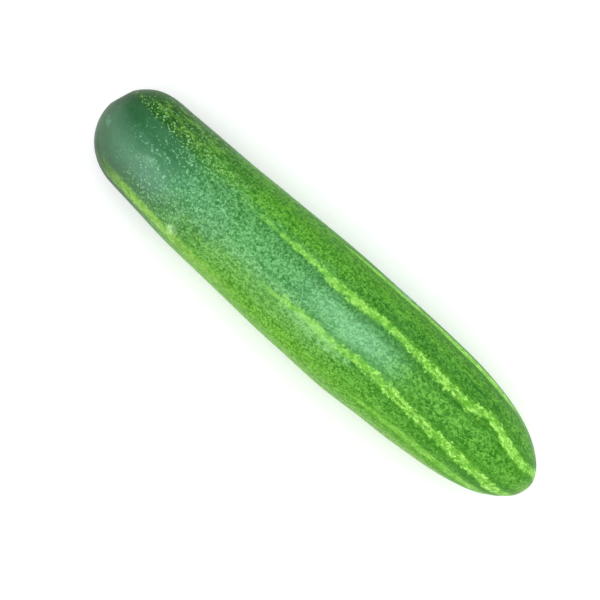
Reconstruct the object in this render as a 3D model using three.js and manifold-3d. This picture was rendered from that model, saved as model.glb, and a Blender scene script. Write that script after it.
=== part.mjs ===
// A field cucumber, as picked, lying on its belly. Millimetres, +Z up.
//
// The fruit grew as one piece, so it is one solid. It lies along X with its stem end at -X and its
// blossom end at +X. Its round sections widen slowly from the blunt stem end to the middle, and then
// taper to the blossom end. Eight low ribs run from scar to scar, with flatter panels between them.
// The stem broke off a dimpled scar, which sits off the end's middle, and so does the small scar that
// the flower left at the other end. The belly is pressed flat where the fruit lies.
import * as THREE from "three";
import { mergeVertices } from "three/addons/utils/BufferGeometryUtils.js";
import Module from "manifold-3d";

// Driving dimensions of the fruit. All angles are in degrees, and those round the fruit run from its
// top towards +Y.
const LENGTH = 190;
// Sections: distance from the stem end, radius before the ends are rounded, and the place of the
// section's middle, sideways and above the surface that the fruit lies on
const SECTIONS = [
  { at: 0, radius: 17.9, side: 0.2, height: 18.8 },
  { at: 20, radius: 17.95, side: -0.15, height: 18.5 },
  { at: 42, radius: 19.2, side: -0.8, height: 18.8 },
  { at: 66, radius: 20.1, side: -0.65, height: 19.6 },
  { at: 92, radius: 20.95, side: -0.35, height: 20.3 },
  { at: 116, radius: 21.1, side: 0, height: 20.5 },
  { at: 134, radius: 20.25, side: 0.6, height: 20.1 },
  { at: 158, radius: 19.3, side: 0.95, height: 19.4 },
  { at: 190, radius: 19.7, side: 0.8, height: 19.0 },
];

// Low ribs, by their angles round the fruit
const RIB_ANGLES = [24, 72, 117, 162, 207, 252, 298, 340];
const RIB_HALF_WIDTH = 8;
const RIB_HEIGHT = { stem: 0.12, blossom: 0.38 };
const LOBES = { count: 3, height: 0.22, at: 40 }; // the three seed chambers, felt through the flesh

// Each end is rounded over a length of the fruit. Its scar leans off the fruit's axis towards an angle
// round the fruit, and is a nub in a hollow with a flat floor.
const STEM_END = {
  outward: -1,
  rounding: 18.3,
  lean: 21,
  towards: 68,
  hollow: { floor: 1.8, rim: 4.8, depth: 0.9 },
  nub: { radius: 1, height: 0.2 },
};
const BLOSSOM_END = {
  outward: 1,
  rounding: 47,
  lean: 26,
  towards: 200,
  hollow: { floor: 1.4, rim: 4.2, depth: 0.5 },
  nub: { radius: 1.3, height: 0.4 },
};

// Facets
const SEGMENTS = 80; // round the fruit
const END_RINGS = 16; // over each rounded end
const END_CROWDING = 1.3; // above 1, these rings crowd towards the scars
const BODY_RINGS = 28;

const radians = THREE.MathUtils.degToRad;
const smooth = (t) => THREE.MathUtils.smoothstep(t, 0, 1);
const mix = THREE.MathUtils.lerp;

// One quantity of the sections at a distance from the stem end, on a smooth curve through them all
function sectionValue(quantity, at) {
  const last = SECTIONS.length - 2;
  let k = SECTIONS.findIndex((section) => section.at > at) - 1;
  if (k < 0) k = last;
  const slope = (i) => {
    const before = SECTIONS[Math.max(i - 1, 0)];
    const after = SECTIONS[Math.min(i + 1, SECTIONS.length - 1)];
    return (after[quantity] - before[quantity]) / (after.at - before.at);
  };
  const [from, to] = [SECTIONS[k], SECTIONS[k + 1]];
  const span = to.at - from.at;
  const t = (at - from.at) / span;
  return (
    from[quantity] * (1 + 2 * t) * (1 - t) ** 2 +
    to[quantity] * t * t * (3 - 2 * t) +
    slope(k) * span * t * (1 - t) ** 2 -
    slope(k + 1) * span * t * t * (1 - t)
  );
}

// The shortest way between two angles, in degrees
const angleBetween = (a, b) => Math.abs(((((a - b) % 360) + 540) % 360) - 180);

// How far ribs and lobes lift the skin at an angle round the fruit
function ribLift(angle, at) {
  const height = mix(RIB_HEIGHT.stem, RIB_HEIGHT.blossom, smooth(at / LENGTH));
  const lobes = LOBES.height * Math.cos(radians(LOBES.count * (angle - LOBES.at)));
  return RIB_ANGLES.reduce((lift, rib) => {
    const off = angleBetween(angle, rib) / RIB_HALF_WIDTH;
    return lift + height * Math.exp(-off * off);
  }, lobes);
}

// A round plateau: 1 out to its floor, 0 from its rim
const plateau = (r, floor, rim) => 1 - smooth((r - floor) / (rim - floor));

// How deep the skin is sunk at a distance from a scar's middle
function scarDepth({ hollow, nub }, away) {
  const sunk = hollow.depth * plateau(away, hollow.floor, hollow.rim);
  return sunk - nub.height * plateau(away, 0.5 * nub.radius, 1.5 * nub.radius);
}

// A ring on a rounded end, given by its angle from the pole in the scar's middle: 0 there, and 90
// where the body begins. The rings near the pole lean with the scar, on the same rounded surface.
function endRing(end, fromPole) {
  const pole = radians(fromPole);
  const depth = end.rounding * (1 - Math.cos(pole));
  const at = end.outward < 0 ? depth : LENGTH - depth;
  const inner = end.outward < 0 ? end.rounding : LENGTH - end.rounding;
  const radius = sectionValue("radius", at);
  const lean = radians(end.lean) * Math.cos(pole);
  const towards = radians(end.towards);
  const sunk = scarDepth(end, radius * Math.sin(pole));
  const sunkAside = sunk * Math.sin(lean);
  return (angle) => {
    const ring = Math.sin(pole) * (1 + (ribLift(angle, at) * Math.sin(pole)) / radius);
    const across = ring * Math.cos(radians(angle) - towards);
    const along = ring * Math.sin(radians(angle) - towards);
    // outwards, and aside towards the scar, on a round of radius 1
    const out = Math.cos(pole) * Math.cos(lean) - across * Math.sin(lean);
    const aside = Math.cos(pole) * Math.sin(lean) + across * Math.cos(lean);
    const y = radius * aside - sunkAside;
    const z = radius * along;
    return [
      inner + end.outward * (end.rounding * out - sunk * Math.cos(lean)),
      sectionValue("side", at) + y * Math.sin(towards) + z * Math.cos(towards),
      sectionValue("height", at) + y * Math.cos(towards) - z * Math.sin(towards),
    ];
  };
}

// An upright ring of the body
function bodyRing(at) {
  const radius = sectionValue("radius", at);
  return (angle) => {
    const reach = radius + ribLift(angle, at);
    return [
      at,
      sectionValue("side", at) + reach * Math.sin(radians(angle)),
      sectionValue("height", at) + reach * Math.cos(radians(angle)),
    ];
  };
}

// All rings from the stem scar to the blossom scar, without the two poles
function fruitRings() {
  const fromPole = (i) => 90 * (i / END_RINGS) ** END_CROWDING;
  const bodyEnd = LENGTH - BLOSSOM_END.rounding;
  const rings = [];
  for (let i = 1; i <= END_RINGS; i++) rings.push(endRing(STEM_END, fromPole(i)));
  for (let i = 1; i < BODY_RINGS; i++)
    rings.push(bodyRing(mix(STEM_END.rounding, bodyEnd, i / BODY_RINGS)));
  for (let i = END_RINGS; i >= 1; i--) rings.push(endRing(BLOSSOM_END, fromPole(i)));
  return rings;
}

// The skin as one closed surface: rings of corners, joined by triangles, with a corner at each pole
function fruitSkin() {
  const corners = [];
  const faces = [];
  const rings = fruitRings();
  for (const ring of rings)
    for (let k = 0; k < SEGMENTS; k++) corners.push(...ring((360 * k) / SEGMENTS));
  const corner = (ring, k) => ring * SEGMENTS + (k % SEGMENTS);
  for (let r = 0; r + 1 < rings.length; r++)
    for (let k = 0; k < SEGMENTS; k++) {
      const [a, b] = [corner(r, k), corner(r, k + 1)];
      const [c, d] = [corner(r + 1, k), corner(r + 1, k + 1)];
      faces.push(a, c, b, b, c, d);
    }
  const stemPole = rings.length * SEGMENTS;
  const blossomPole = stemPole + 1;
  corners.push(...endRing(STEM_END, 0)(0));
  corners.push(...endRing(BLOSSOM_END, 0)(0));
  for (let k = 0; k < SEGMENTS; k++) {
    faces.push(stemPole, corner(0, k), corner(0, k + 1));
    const last = rings.length - 1;
    faces.push(blossomPole, corner(last, k + 1), corner(last, k));
  }
  return new THREE.BufferGeometry()
    .setAttribute("position", new THREE.Float32BufferAttribute(corners, 3))
    .setIndex(faces);
}

// Between three.js geometry and a solid that can be cut
const wasm = await Module();
wasm.setup();

function toSolid(geometry) {
  const plain = new THREE.BufferGeometry()
    .setAttribute("position", geometry.getAttribute("position"))
    .setIndex(geometry.index);
  const merged = mergeVertices(plain);
  return new wasm.Manifold(
    new wasm.Mesh({
      numProp: 3,
      vertProperties: new Float32Array(merged.getAttribute("position").array),
      triVerts: new Uint32Array(merged.index.array),
    }),
  );
}

function toGeometry(solid) {
  const mesh = solid.getMesh();
  const geometry = new THREE.BufferGeometry()
    .setAttribute("position", new THREE.BufferAttribute(mesh.vertProperties, 3))
    .setIndex(new THREE.BufferAttribute(mesh.triVerts, 1));
  geometry.computeVertexNormals();
  return geometry;
}

// The belly: all that would lie below the surface is cut away, which leaves a narrow flat spot
function pressBellyFlat(skin) {
  const room = 10;
  const ground = new THREE.BoxGeometry(LENGTH + 2 * room, LENGTH, room);
  ground.translate(LENGTH / 2, 0, -room / 2);
  return toGeometry(toSolid(skin).subtract(toSolid(ground)));
}

const fruit = pressBellyFlat(fruitSkin());
// The origin is under the middle of the fruit, on the surface that it lies on
fruit.computeBoundingBox();
const middle = fruit.boundingBox.getCenter(new THREE.Vector3());
fruit.translate(-middle.x, -middle.y, 0);

const greenSkin = new THREE.MeshStandardMaterial({
  color: "#5b9a3c",
  roughness: 0.42,
  metalness: 0,
});

const cucumber = new THREE.Group();
const fruitMesh = new THREE.Mesh(fruit, greenSkin);
fruitMesh.name = "cucumber";
cucumber.add(fruitMesh);

export default cucumber;
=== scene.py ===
import math

import bpy
from mathutils import Matrix, Quaternion, Vector, noise


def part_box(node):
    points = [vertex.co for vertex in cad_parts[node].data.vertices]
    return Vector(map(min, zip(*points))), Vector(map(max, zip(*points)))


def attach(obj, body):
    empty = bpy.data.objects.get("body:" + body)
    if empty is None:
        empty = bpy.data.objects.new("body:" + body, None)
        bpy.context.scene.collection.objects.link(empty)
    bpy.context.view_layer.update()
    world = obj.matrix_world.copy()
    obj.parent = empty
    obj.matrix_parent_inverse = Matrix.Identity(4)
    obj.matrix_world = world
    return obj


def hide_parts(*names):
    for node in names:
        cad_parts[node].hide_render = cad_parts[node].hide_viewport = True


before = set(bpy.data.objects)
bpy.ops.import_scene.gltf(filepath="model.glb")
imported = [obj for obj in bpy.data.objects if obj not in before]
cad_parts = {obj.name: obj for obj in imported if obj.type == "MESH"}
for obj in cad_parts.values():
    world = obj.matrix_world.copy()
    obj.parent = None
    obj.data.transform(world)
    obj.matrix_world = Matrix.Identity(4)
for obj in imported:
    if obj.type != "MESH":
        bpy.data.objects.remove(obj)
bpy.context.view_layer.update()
cad_low, cad_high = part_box("cucumber")

# The camera looks straight down at the fruit, which lies aslant in the picture with its stem end at the
# upper left. Sizes in this script are in millimetres, and MM turns them into Blender's metres.
MM = 0.001
PICTURE = 600  # pixels along each side
PIXELS_PER_MM = 2.995  # at the fruit's widest outline
FRUIT_PIXEL = (317, 298.5)  # where the middle of the fruit is in the picture, from its upper left
SLANT = math.radians(42.3)
LENS = 85

bpy.ops.object.select_all(action="DESELECT")
picture_width = PICTURE / PIXELS_PER_MM * MM
bpy.ops.object.camera_add(rotation=(0, 0, SLANT))
camera = bpy.context.object
camera.data.lens = LENS
right = Vector((math.cos(SLANT), math.sin(SLANT), 0))
upwards = Vector((-math.sin(SLANT), math.cos(SLANT), 0))
aside = (PICTURE / 2 - FRUIT_PIXEL[0]) / PICTURE * picture_width
above = (FRUIT_PIXEL[1] - PICTURE / 2) / PICTURE * picture_width
distance = picture_width * LENS / camera.data.sensor_width
outline_height = Vector((0, 0, (cad_low.z + cad_high.z) / 2))
camera.location = outline_height + aside * right + above * upwards + Vector((0, 0, distance))
bpy.context.scene.camera = camera

# The cucumber: one fruit, grown as one piece on a trailing vine, with low ribs from scar to scar. It is
# modelled from rings round its axis, from the stem scar to the blossom scar, which are bridged and
# subdivided, and its ribs and scars are then pushed out of the skin and into it.
SECTIONS = [  # distance from the stem end, radius, and the middle's place sideways and above the table
    (0, 17.9, 0.2, 18.8),
    (20, 17.95, -0.15, 18.5),
    (42, 19.2, -0.8, 18.8),
    (66, 20.1, -0.65, 19.6),
    (92, 20.95, -0.35, 20.3),
    (116, 21.1, 0, 20.5),
    (134, 20.25, 0.6, 20.1),
    (158, 19.3, 0.95, 19.4),
    (190, 19.7, 0.8, 19.0),
]
LENGTH = SECTIONS[-1][0]
# Each end is rounded over a length of the fruit, and its scar leans off the axis towards an angle round
# the fruit. Such angles are in degrees and run from the top towards +Y.
STEM_END = {"outward": -1, "rounding": 18.3, "lean": 21, "towards": 68}
BLOSSOM_END = {"outward": 1, "rounding": 47, "lean": 26, "towards": 200}
SIDES = 88
END_RINGS = 16
END_CROWDING = 1.3
BODY_RINGS = 27


def section(at):
    """Radius, side and height of the section at a distance from the stem end, on a smooth curve."""
    last = len(SECTIONS) - 2
    k = min(sum(row[0] <= at for row in SECTIONS) - 1, last)
    start, end = SECTIONS[k], SECTIONS[k + 1]
    span = end[0] - start[0]
    t = (at - start[0]) / span

    def slope(i, quantity):
        before, after = SECTIONS[max(i - 1, 0)], SECTIONS[min(i + 1, last + 1)]
        return (after[quantity] - before[quantity]) / (after[0] - before[0])

    return [
        start[q] * (1 + 2 * t) * (1 - t) ** 2
        + end[q] * t * t * (3 - 2 * t)
        + slope(k, q) * span * t * (1 - t) ** 2
        - slope(k + 1, q) * span * t * t * (1 - t)
        for q in (1, 2, 3)
    ]


def add_ring(at, size=1, out=0, end=None):
    """One ring of the fruit. On an end it leans with the scar, and is set out along that lean."""
    radius, side, height = section(at)
    middle = Vector((at, side, height))
    lean = Quaternion()
    stretch = 1
    if end:
        middle.x = end["rounding"] if end["outward"] < 0 else LENGTH - end["rounding"]
        axis = Vector((end["outward"], 0, 0))
        turn = math.radians(end["towards"])
        scar_side = Vector((0, math.sin(turn), math.cos(turn)))
        lean = Quaternion(axis.cross(scar_side), math.radians(end["lean"]) * out)
        stretch = end["rounding"] / radius
        start = middle + radius * out * (lean @ axis)
    else:
        start = middle
    upright = Matrix(((0, 0, -1), (-1, 0, 0), (0, 1, 0)))
    bpy.ops.mesh.primitive_circle_add(
        vertices=SIDES,
        radius=radius * size * MM,
        location=start * MM,
        rotation=(lean.to_matrix() @ upright).to_euler(),
    )
    bpy.ops.transform.resize(value=(stretch, 1, 1), center_override=middle * MM)
    rings.append((at, radius * size))


bpy.ops.mesh.primitive_circle_add(vertices=3, radius=MM)
cucumber = bpy.context.object
cucumber.name = cucumber.data.name = "cucumber_fruit"
bpy.ops.object.mode_set(mode="EDIT")
bpy.ops.mesh.delete(type="VERT")
rings = []
end_angles = [math.pi / 2 * (i / END_RINGS) ** END_CROWDING for i in range(1, END_RINGS + 1)]
for angle in end_angles:
    depth = STEM_END["rounding"] * (1 - math.cos(angle))
    add_ring(depth, math.sin(angle), math.cos(angle), STEM_END)
body_start, body_end = STEM_END["rounding"], LENGTH - BLOSSOM_END["rounding"]
for i in range(1, BODY_RINGS):
    add_ring(body_start + (body_end - body_start) * i / BODY_RINGS)
for angle in reversed(end_angles):
    depth = BLOSSOM_END["rounding"] * (1 - math.cos(angle))
    add_ring(LENGTH - depth, math.sin(angle), math.cos(angle), BLOSSOM_END)
bpy.ops.mesh.select_all(action="SELECT")
bpy.ops.mesh.bridge_edge_loops()
bpy.ops.mesh.select_all(action="SELECT")
bpy.ops.mesh.fill_holes(sides=SIDES)
bpy.ops.mesh.select_all(action="SELECT")
bpy.ops.mesh.normals_make_consistent(inside=False)
bpy.ops.object.mode_set(mode="OBJECT")

# The straightened place of each point: along the fruit, and across and above its axis. It goes with the
# mesh through the subdivision, and the ribs and the skin's pattern follow it.
straight = cucumber.data.attributes.new("straight", "FLOAT_VECTOR", "POINT")
for i in range(len(cucumber.data.vertices)):
    at, reach = rings[i // SIDES]
    angle = 2 * math.pi * (i % SIDES) / SIDES
    straight.data[i].vector = (at, reach * math.sin(angle), reach * math.cos(angle))
bpy.ops.object.modifier_add(type="SUBSURF")
cucumber.modifiers[-1].levels = cucumber.modifiers[-1].render_levels = 2
bpy.ops.object.modifier_apply(modifier=cucumber.modifiers[-1].name)

points = []
for value in cucumber.data.attributes["straight"].data:
    at, y, z = value.vector
    at = min(max(at, 0), LENGTH)
    from_axis = math.hypot(y, z)
    point = {"at": at, "y": y, "z": z, "from_axis": from_axis, "angle": math.degrees(math.atan2(y, z))}
    # 1 on the body, and less towards the scars, where the skin turns to face along the fruit
    point["side_on"] = (from_axis / section(at)[0]) ** 2
    points.append(point)


def smooth(value, low, high):
    """0 at low and 1 at high, with a smooth rise between. low may be the larger."""
    t = min(max((value - low) / (high - low), 0), 1)
    return t * t * (3 - 2 * t)


def between(a, b):
    """The angle between two angles, in degrees."""
    return abs((a - b + 180) % 360 - 180)


def push_skin(name, height, weight_at):
    """Pushes the skin out by height, or in where it is negative, times a weight at each point."""
    group = cucumber.vertex_groups.new(name=name)
    for index, point in enumerate(points):
        weight = weight_at(point)
        if weight > 0.001:
            group.add([index], weight, "REPLACE")
    bpy.ops.object.modifier_add(type="DISPLACE")
    push = cucumber.modifiers[-1]
    push.mid_level = 0
    push.strength = height * MM
    push.vertex_group = name
    bpy.ops.object.modifier_apply(modifier=push.name)
    cucumber.vertex_groups.remove(cucumber.vertex_groups[name])


RIBS = [24, 72, 117, 162, 207, 252, 298, 340]
RIB_HALF_WIDTH = 8
RIB_HEIGHT = {"stem": 0.12, "blossom": 0.38}
LOBES = {"count": 3, "height": 0.22, "at": 40}


def rib_weight(p):
    """How strongly the nearest rib lifts the skin."""
    stem_share = RIB_HEIGHT["stem"] / RIB_HEIGHT["blossom"]
    rise = stem_share + (1 - stem_share) * smooth(p["at"], 0, LENGTH)
    off = min(between(p["angle"], rib) for rib in RIBS) / RIB_HALF_WIDTH
    return rise * math.exp(-off * off) * p["side_on"]


def lobe_weight(p):
    wave = math.cos(math.radians(LOBES["count"] * (p["angle"] - LOBES["at"])))
    return (0.5 + 0.5 * wave) * p["side_on"]


def wave_weight(p):
    """Slow, uneven waves of the skin."""
    wave = noise.noise(Vector((0.05 * p["at"], 0.11 * p["y"], 0.11 * p["z"])))
    return (0.5 + 0.5 * wave) * p["side_on"]


push_skin("ribs", RIB_HEIGHT["blossom"], rib_weight)
push_skin("lobes", 2 * LOBES["height"], lobe_weight)
push_skin("between_lobes", -LOBES["height"], lambda p: p["side_on"])
push_skin("waves", 0.5, wave_weight)
push_skin("between_waves", -0.25, lambda p: p["side_on"])


def scar_weight(at_stem, floor, rim):
    """For a hollow or nub in the middle of a scar: 1 out to its floor, and 0 from its rim."""

    def weight(p):
        on_that_end = (p["at"] < LENGTH / 2) == at_stem
        return on_that_end * smooth(p["from_axis"], rim, floor)

    return weight


push_skin("stem_hollow", -0.9, scar_weight(True, 1.8, 4.8))
push_skin("stem_nub", 0.2, scar_weight(True, 0.5, 1.5))
push_skin("blossom_hollow", -0.5, scar_weight(False, 1.4, 4.2))
push_skin("blossom_nub", 0.4, scar_weight(False, 0.6, 1.9))

# The belly is pressed flat where the fruit lies, and the fruit is brought to its solid's place.
bpy.ops.object.mode_set(mode="EDIT")
bpy.ops.mesh.select_all(action="DESELECT")
bpy.ops.object.mode_set(mode="OBJECT")
for vertex in cucumber.data.vertices:
    vertex.select = vertex.co.z < 0
bpy.ops.object.mode_set(mode="EDIT")
bpy.ops.transform.resize(value=(1, 1, 0), center_override=(0, 0, 0))
bpy.ops.mesh.select_all(action="SELECT")
xs = [vertex.co.x for vertex in cucumber.data.vertices]
ys = [vertex.co.y for vertex in cucumber.data.vertices]
bpy.ops.transform.translate(
    value=(
        (cad_low.x + cad_high.x - min(xs) - max(xs)) / 2,
        (cad_low.y + cad_high.y - min(ys) - max(ys)) / 2,
        0,
    )
)
bpy.ops.object.mode_set(mode="OBJECT")
bpy.ops.object.shade_smooth()

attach(cucumber, "root")
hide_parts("cucumber")

# The skin: thin waxy rind, blue-green and smooth near the stem, and elsewhere deep green and closely
# mottled in pale green. Pale ragged stripes run along the ribs, and the belly is yellower.
skin = bpy.data.materials.new("cucumber_skin")
skin.use_nodes = True
skin_shader = skin.node_tree.nodes["Principled BSDF"]
cucumber.data.materials.append(skin)


class Paint:
    """A value or colour in the skin's node tree. Arithmetic on values adds their Math nodes."""

    def __init__(self, socket):
        self.socket = socket

    @classmethod
    def node(cls, kind, settings=None, sockets=None, output=0):
        node = skin.node_tree.nodes.new("ShaderNode" + kind)
        for name, value in (settings or {}).items():
            setattr(node, name, value)
        for name, value in (sockets or {}).items():
            if isinstance(value, cls):
                skin.node_tree.links.new(value.socket, node.inputs[name])
            else:
                node.inputs[name].default_value = value
        return cls(node.outputs[output])

    def math(self, operation, first, second):
        return self.node("Math", {"operation": operation}, {0: first, 1: second})

    def __add__(self, other):
        return self.math("ADD", self, other)

    def __sub__(self, other):
        return self.math("SUBTRACT", self, other)

    def __rsub__(self, other):
        return self.math("SUBTRACT", other, self)

    def __mul__(self, other):
        return self.math("MULTIPLY", self, other)

    def __truediv__(self, other):
        return self.math("DIVIDE", self, other)

    def __abs__(self):
        return self.math("ABSOLUTE", self, 0.0)

    __radd__ = __add__
    __rmul__ = __mul__

    def step(self, low, high):
        """0 at low and 1 at high, with a smooth rise between. low may be the larger."""
        settings = {"interpolation_type": "SMOOTHSTEP"}
        return self.node("MapRange", settings, {0: self, 1: low, 2: high})


def green(red, middle, blue):
    """A colour given as it looks on a screen, from 0 to 255."""
    linear = []
    for channel in (red, middle, blue):
        c = channel / 255
        linear.append(c / 12.92 if c <= 0.04045 else ((c + 0.055) / 1.055) ** 2.4)
    return (*linear, 1)


def blend(share, first, second):
    """From the first colour to the second."""
    return Paint.node("Mix", {"data_type": "RGBA"}, {0: share, 6: first, 7: second}, output=2)


def scaled(vector, factors):
    return Paint.node("VectorMath", {"operation": "MULTIPLY"}, {0: vector, 1: factors})


def cloud(vector, scale, detail=2.0, distortion=0.0, seed=0.0):
    """Soft noise round 0.5. scale is in waves per millimetre."""
    settings = {"noise_dimensions": "4D"}
    sockets = {"Vector": vector, "W": seed, "Scale": scale, "Detail": detail, "Distortion": distortion}
    return Paint.node("TexNoise", settings, sockets)


place = Paint.node("Attribute", {"attribute_name": "straight"}, output="Vector")
along = Paint.node("SeparateXYZ", sockets={0: place}, output=0)
across = Paint.node("SeparateXYZ", sockets={0: place}, output=1)
over = Paint.node("SeparateXYZ", sockets={0: place}, output=2)
drawn = scaled(place, (0.82, 1.0, 1.0))  # patterns are drawn out a little along the fruit
streaked = scaled(place, (0.15, 1.0, 1.0))


def sideways(angle):
    """How far a point is from the line along the fruit at an angle round it, in mm, one side negative."""
    turn = math.radians(angle)
    return across * math.cos(turn) - over * math.sin(turn)


def facing(angle):
    """1 on the half of the fruit that faces an angle, and 0 on the other."""
    turn = math.radians(angle)
    return (across * math.sin(turn) + over * math.cos(turn)).step(0.0, 2.0)


def spot(at, angle, half_length, half_width, uneven=0.5):
    """A mark on the skin: 1 in its middle and 0 outside its uneven border."""
    lengthwise = abs(along - at) / half_length
    crosswise = abs(sideways(angle)) / half_width
    reach = lengthwise * lengthwise + crosswise * crosswise + uneven * 2 * (fine - 0.5)
    return reach.step(1.25, 0.35) * facing(angle)


def squiggles(vector, scale, width, seed):
    """Short curved lines, where soft noise passes its middle."""
    return (abs(cloud(vector, scale, detail=1.0, distortion=0.3, seed=seed) - 0.5) / width).step(1.0, 0.0)


fine = cloud(drawn, 0.8, detail=1.5, seed=11.0)
broad = cloud(drawn, 0.09, seed=12.0)

# The ground colour runs from a deep blue-green at the stem end to the body's green. It is yellower on
# the side that lay on the soil, and painted shade darkens the flank on the other side.
body = (along + 30 * (broad - 0.5)).step(11.0, 64.0)
soil_side = sideways(-28) / -20
yellowing = (soil_side + 0.5 * (cloud(streaked, 0.15, seed=5.0) - 0.5)).step(0.0, 0.9)
shaded_flank = (sideways(20) + 6 * (broad - 0.5)).step(3.0, 12.0)
past_first_rib = (sideways(24) + 2 * (fine - 0.5)).step(-1.0, 1.6)
deep = blend(body, green(24, 66, 30), green(45, 114, 14))
pale = blend(body, green(80, 136, 88), green(110, 180, 68))
deep = blend(yellowing * body, deep, green(74, 140, 12))
pale = blend(yellowing * body, pale, green(134, 199, 72))
# Painted shade: both tones are darker on the +Y flank.
deep = blend(shaded_flank, deep, blend(body, green(24, 70, 12), green(40, 108, 9)))
pale = blend(shaded_flank, pale, blend(body, green(66, 124, 44), green(93, 162, 44)))
patches = cloud(scaled(place, (0.5, 1.0, 1.0)), 0.16, detail=1.5, seed=4.0)
deep = blend(patches.step(0.5, 0.75) * body * 0.35, deep, green(70, 134, 14))
deep = blend(patches.step(0.48, 0.25) * body * 0.35, deep, green(28, 94, 30))

# Wax bloom lies pale and cool on the flatter panels between the ribs. On the top panel, the stem cap and
# the stem's lower shoulder these pale tints are also painted sheen. The skin is darker along both sides of
# the first rib, and painted shade darkens the stem's upper side.
TEAL_SHEEN = (green(112, 194, 150), green(134, 210, 172))
COOL_BLOOM_AND_SHEEN = (green(66, 134, 106), green(138, 208, 202))
GREY_SHEEN = (green(126, 164, 134), green(144, 188, 154))
SLATE_SHEEN = (green(120, 150, 156), green(140, 172, 170))
PALE = (green(118, 166, 100), green(172, 218, 146))
SHADED = (green(18, 80, 16), green(66, 140, 52))
STEM_SHADE = (green(18, 48, 12), green(70, 120, 56))
PAINTED_SHEEN = (green(150, 216, 132), green(200, 250, 200))
VEILS = [  # angle, from, to, half width, strength, and the tints of deep and pale skin
    # The rows at 0 and -2 degrees are painted sheen on the top panel (the first also bloom), those at -4,
    # -26 and -36 degrees painted sheen on the stem cap and its lower shoulder, and the row at 45 degrees
    # painted shade.
    (0, 20, 140, 8.0, 0.22, COOL_BLOOM_AND_SHEEN),
    (-2, 86, 138, 6.0, 0.08, PAINTED_SHEEN),
    (-26, 6, 50, 4.5, 0.16, SLATE_SHEEN),
    (-4, -5, 52, 9.0, 0.2, TEAL_SHEEN),
    (-36, -20, 50, 7.5, 0.25, GREY_SHEEN),
    (-29, 34, 120, 5.5, 0.2, PALE),
    (14, -10, 168, 2.4, 0.36, SHADED),
    (34, 92, 168, 2.4, 0.5, SHADED),
    (45, -30, 14, 5.0, 0.9, STEM_SHADE),
    (95, 20, 120, 6.0, 0.16, COOL_BLOOM_AND_SHEEN),
    (140, 60, 160, 6.0, 0.16, COOL_BLOOM_AND_SHEEN),
    (186, 30, 130, 6.0, 0.16, COOL_BLOOM_AND_SHEEN),
]
for angle, first, last, half_width, strength, tints in VEILS:
    veil = (abs(sideways(angle)) / half_width + 1.4 * (broad - 0.5)).step(1.4, 0.5) * facing(angle)
    veil = veil * (along + 20 * (broad - 0.5)).step(first, first + 24) * along.step(last, last - 25)
    deep = blend(veil * strength, deep, tints[0])
    pale = blend(veil * strength, pale, tints[1])

# Painted shade: past the first rib the stem's shoulder is darker, and so is the skin close round the stem.
shaded_shoulder = past_first_rib * (along + 16 * (broad - 0.5)).step(46.0, 12.0)
deep = blend(shaded_shoulder * 0.8, deep, green(22, 78, 12))
pale = blend(shaded_shoulder * 0.8, pale, green(82, 148, 54))
deep = blend(along.step(6.0, 0.0) * 0.4, deep, green(22, 56, 24))

# Small pale dots, few and bright near the stem, and so crowded on the body that they run into chains
jitter = Paint.node("TexNoise", sockets={"Vector": place, "Scale": 0.9, "Detail": 1.0}, output="Color")
jitter = Paint.node("VectorMath", {"operation": "MULTIPLY_ADD"}, {0: jitter, 1: (1.8, 1.8, 1.8), 2: drawn})


def dots(scale, size, share):
    """Uneven dots, in a share of the cells of a size given by scale, in cells per millimetre."""
    cells = Paint.node("TexVoronoi", sockets={"Vector": jitter, "Scale": scale}, output="Distance")
    number = Paint.node("SeparateColor", sockets={0: Paint(cells.socket.node.outputs["Color"])})
    return cells.step(1.45 * size, 0.5 * size) * (share - number).step(0.0, 0.15)


from_stem = along + 26 * (fine - 0.5) + 14 * past_first_rib
body_dots = dots(1.08, 0.41, 0.32 * from_stem.step(10.0, 44.0) + 0.58 * body)
bright_dots = dots(1.15, 0.32, 0.55 + 0.35 * past_first_rib) * (0.68 + 0.22 * past_first_rib)
bright_dots = bright_dots * from_stem.step(8.0, 30.0) * along.step(74.0, 40.0)
bright_dots = bright_dots * sideways(36).step(5.0, 0.0) * (1 - 0.8 * yellowing)
bright_green = blend(past_first_rib, green(150, 206, 154), green(148, 202, 120))
grain = cloud(drawn, 1.2, detail=1.5, seed=2.0).step(0.36, 0.64) * (0.15 + 0.85 * body)
fibres = cloud(scaled(place, (0.2, 1.0, 1.0)), 1.0, detail=2.0, seed=15.0).step(0.36, 0.64) - 0.5
grain = grain + fibres * (0.35 + 0.5 * shaded_flank)
worms = squiggles(place, 0.6, 0.07, seed=1.0) * body
colour = blend(0.32 * grain + 0.5 * worms, deep, pale)
colour = blend(body_dots * 0.9, colour, blend(body, green(112, 170, 118), pale))
colour = blend(bright_dots, colour, bright_green)
# A painted highlight: a pale, cool glow along the top of the fruit's middle.
painted_highlight = (abs(sideways(-1)) / 5.0 + 1.2 * (broad - 0.5)).step(1.3, 0.2) * facing(-1)
painted_highlight = painted_highlight * along.step(82.0, 104.0) * along.step(136.0, 116.0)
colour = blend(painted_highlight * 0.17, colour, green(152, 216, 176))
colour = blend(along.step(176.0, 190.0) * 0.7, colour, green(166, 208, 104))

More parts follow.
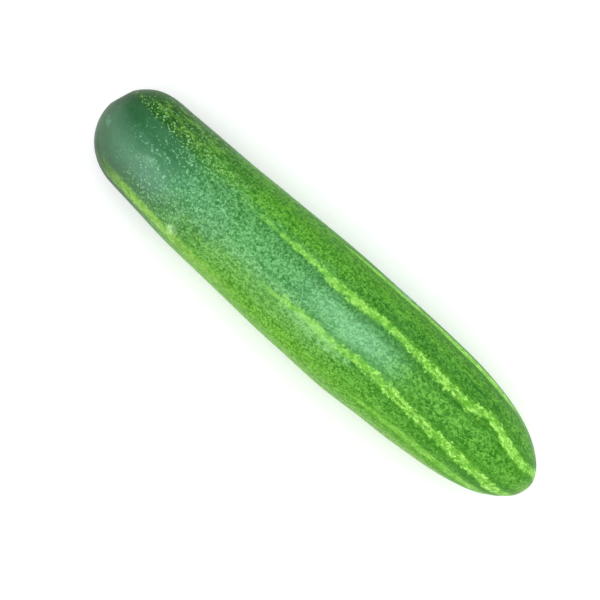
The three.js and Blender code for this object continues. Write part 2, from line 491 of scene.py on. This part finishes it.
# Pale stripes run along the ribs from where each one starts, and wander a little to either side. They are
# made of ragged clumps, with deep green along their borders and dark islands in their middles.
FIRST_BENDS = [(84, 0), (96, -0.9), (106, -0.6), (117, 0.2), (128, -0.4), (138, -1.4)]
FIRST_BENDS += [(150, -1.2), (157, 1.0), (166, -1.2), (172, -1.0), (179, 1.3), (186, 3.4)]
LAST_BENDS = [(84, -2.2), (94, -1.1), (108, -1.6), (119, -0.1), (133, -1.5), (147, -2.7)]
LAST_BENDS += [(160, -3.1), (174, -3.5), (183, -2.0)]
STRIPES = [  # angle, from, to, half width, strength, raggedness, and bends: distance and how far aside
    (23, 60, 200, 1.35, 0.9, 1.0, FIRST_BENDS),
    (66, 84, 172, 1.2, 0.9, 0.15, [(84, 0)]),
    (117, 70, 200, 1.4, 0.8, 1.0, [(90, 0), (120, 1.0), (160, 0.4)]),
    (162, 95, 200, 1.2, 0.7, 1.0, [(100, 0), (150, -1.2), (180, -0.7)]),
    (207, 60, 200, 1.5, 0.7, 1.0, [(90, 0), (130, 0.8), (180, 0)]),
    (252, 80, 200, 1.2, 0.7, 0.8, [(100, 0), (160, -0.8)]),
    (308, 116, 200, 1.3, 0.75, 0.4, [(116, 0)]),
    (343, 76, 200, 1.45, 1.0, 1.0, LAST_BENDS),
]
wander = cloud(streaked, 0.35, seed=6.0) - 0.5
ragged = cloud(drawn, 1.5, detail=2.5, seed=7.0) - 0.5
clumps = cloud(drawn, 0.55, detail=2.0, seed=10.0).step(0.35, 0.65)
grained = 0.6 * dots(1.5, 0.42, 1.0) + 0.55 * clumps
stripe_green = blend(grained, green(88, 164, 32), green(178, 240, 114))
swell = 1 + 0.2 * along.step(100.0, 175.0)
calm = 1 - 0.6 * along.step(150.0, 180.0)
for angle, start, stop, half_width, strength, roughened, bends in STRIPES:
    middle = bends[0][1]
    for (bend, aside), (next_bend, next_aside) in zip(bends, bends[1:]):
        middle = middle + (next_aside - aside) * along.step(bend, next_bend)
    width = half_width * swell * (0.35 + 0.65 * along.step(start, start + 32))
    off = abs(sideways(angle) - middle + 1.6 * wander) / width
    strength = strength * (0.52 + 0.48 * along.step(start, start + 92))
    uneven = roughened * calm * ragged
    grown = (along + 24 * ragged).step(start - 8, start + 16) * along.step(stop, stop - 16) * facing(angle)
    band = (off + 3.4 * uneven + (0.7 * roughened) * (0.5 - clumps)).step(1.15, 0.4) * grown
    haze = (off + 1.8 * uneven).step(1.5, 0.3) * grown
    border = (off + 2.4 * uneven).step(3.2, 1.7) * grown
    islands = (off + 3.0 * calm * (fine - 0.5)).step(0.42, 0.1) * haze
    islands = islands * along.step(98.0, 136.0) * (1 - 0.6 * along.step(140.0, 165.0))
    colour = blend(border * (0.55 * strength), colour, deep)
    colour = blend(haze * (0.6 * strength), colour, green(116, 192, 60))
    colour = blend(band * strength, colour, stripe_green)
    islands = islands * (0.85 * strength * roughened) * (0.25 + 0.75 * clumps)
    colour = blend(islands, colour, deep)

# A yellow-green band lies beside the stem's shoulder on one side, and streaks of it on the other.
band = (abs(sideways(-60) + 2 * wander) / 2.6 + 1.4 * ragged).step(1.4, 0.4)
band = band * along.step(8.0, 28.0) * along.step(80.0, 54.0) * facing(-60)
colour = blend(band * 0.85, colour, blend(grained, green(96, 154, 40), green(160, 212, 100)))
streaks = cloud(scaled(place, (0.35, 1.0, 1.0)), 0.8, detail=2.0, seed=8.0).step(0.44, 0.68)
streaks = streaks * spot(26, 48, 17, 6.5, uneven=1.2)
colour = blend(streaks * 0.55, colour, green(112, 166, 56))

# Rubs and scratches: place, size, unevenness, strength and colour
MARKS = [
    (44.6, -50, 2.2, 2.4, 2.2, 0.75, green(180, 224, 150)),
    (43.5, -36, 1.8, 5.0, 2.6, 0.4, green(150, 208, 140)),
    (116, 73, 6, 1.6, 2.0, 0.6, green(140, 200, 160)),
    (5.4, -31, 2.0, 1.3, 2.0, 0.35, green(116, 178, 142)),
    (25, -12, 3.6, 1.6, 2.0, 0.26, green(146, 200, 162)),
    (0.45, 10, 0.42, 2.6, 0.5, 0.6, green(176, 180, 124)),
    (88, -21, 2.2, 2.4, 3.0, 0.7, green(160, 224, 106)),
    (102, -26, 16, 2.8, 1.3, 0.6, green(146, 206, 130)),
    (52, 45, 8, 4.0, 1.6, 0.45, green(24, 78, 36)),
    (153, 40, 8, 1.6, 1.6, 0.5, green(36, 98, 24)),
    (160, -76, 24, 3.0, 1.0, 0.3, green(146, 166, 60)),
    (70, 140, 9, 2.0, 3.0, 0.5, green(170, 210, 130)),
    (128, 185, 5, 2.6, 3.0, 0.6, green(186, 200, 130)),
    (60, 230, 7, 3.0, 2.5, 0.6, green(190, 206, 136)),
]
flecks = 0.1 + 0.8 * squiggles(place, 0.5, 0.1, seed=14.0) + 0.4 * grained
for at, angle, half_length, half_width, uneven, strength, tint in MARKS:
    colour = blend(spot(at, angle, half_length, half_width, uneven) * flecks * strength, colour, tint)

# The stem broke off a corky disc with a brown rim. The flower left a small brown scar at the other end.
from_axis = Paint.node("VectorMath", {"operation": "LENGTH"}, {0: scaled(place, (0, 1, 1))}, output="Value")
turned = Paint.node("Math", {"operation": "ARCTAN2"}, {0: across, 1: over})
cork = Paint.node("CombineXYZ", sockets={0: 2.2 * turned, 1: 0.5 * from_axis})
cork = cloud(cork, 1.6, detail=3.0, seed=13.0)
edge = from_axis + 1.2 * (fine - 0.5)
at_stem = along.step(60.0, 50.0)
at_blossom = along.step(130.0, 140.0)
colour = blend(edge.step(7.0, 3.5) * at_stem * 0.35, colour, green(46, 82, 34))
colour = blend(edge.step(3.3, 2.7) * at_stem, colour, green(112, 100, 58))
stem_cork = blend(cork, green(150, 138, 92), green(206, 200, 160))
colour = blend(edge.step(2.7, 2.2) * at_stem, colour, stem_cork)
colour = blend(edge.step(5.0, 2.0) * at_blossom * 0.5, colour, green(150, 196, 108))
blossom_cork = blend(cork, green(96, 82, 46), green(166, 150, 104))
colour = blend(edge.step(2.0, 1.4) * at_blossom * 0.9, colour, blossom_cork)
scarred = edge.step(3.3, 2.7) * at_stem + edge.step(2.0, 1.4) * at_blossom

skin.node_tree.links.new(colour.socket, skin_shader.inputs["Base Color"])
roughness = 0.34 + 0.1 * body_dots + 0.08 * patches + 0.45 * scarred
skin.node_tree.links.new(roughness.socket, skin_shader.inputs["Roughness"])
relief = 0.5 * body_dots + 0.3 * grain + 3.0 * scarred * cork
bump = Paint.node("Bump", sockets={"Strength": 0.5, "Distance": 0.00008, "Height": relief})
skin.node_tree.links.new(bump.socket, skin_shader.inputs["Normal"])
skin_shader.inputs["IOR"].default_value = 1.4
skin_shader.inputs["Specular IOR Level"].default_value = 0.13

# The floor is a plain pale table, and the light is soft and cool from above, with white all round.
bpy.ops.mesh.primitive_plane_add(size=6)
floor = bpy.context.object
floor.name = "floor"
floor_paint = bpy.data.materials.new("floor_paint")
floor_paint.use_nodes = True
floor_paint.node_tree.nodes["Principled BSDF"].inputs["Base Color"].default_value = (0.95, 0.95, 0.95, 1)
floor_paint.node_tree.nodes["Principled BSDF"].inputs["Roughness"].default_value = 0.9
floor_paint.node_tree.nodes["Principled BSDF"].inputs["Emission Color"].default_value = (1, 1, 1, 1)
floor_paint.node_tree.nodes["Principled BSDF"].inputs["Emission Strength"].default_value = 0.1
floor.data.materials.append(floor_paint)

bpy.ops.object.light_add(type="AREA", location=(0.1, 0, 1.1))
softbox = bpy.context.object
softbox.data.shape = "RECTANGLE"
softbox.data.size = 0.5
softbox.data.size_y = 1.6
softbox.data.energy = 7
softbox.data.color = (0.95, 1, 1)
softbox.visible_camera = False

world = bpy.data.worlds.new("studio")
world.use_nodes = True
world.node_tree.nodes["Background"].inputs["Color"].default_value = (1, 1, 1, 1)
world.node_tree.nodes["Background"].inputs["Strength"].default_value = 0.88
bpy.context.scene.world = world
bpy.context.scene.view_settings.view_transform = "Standard"
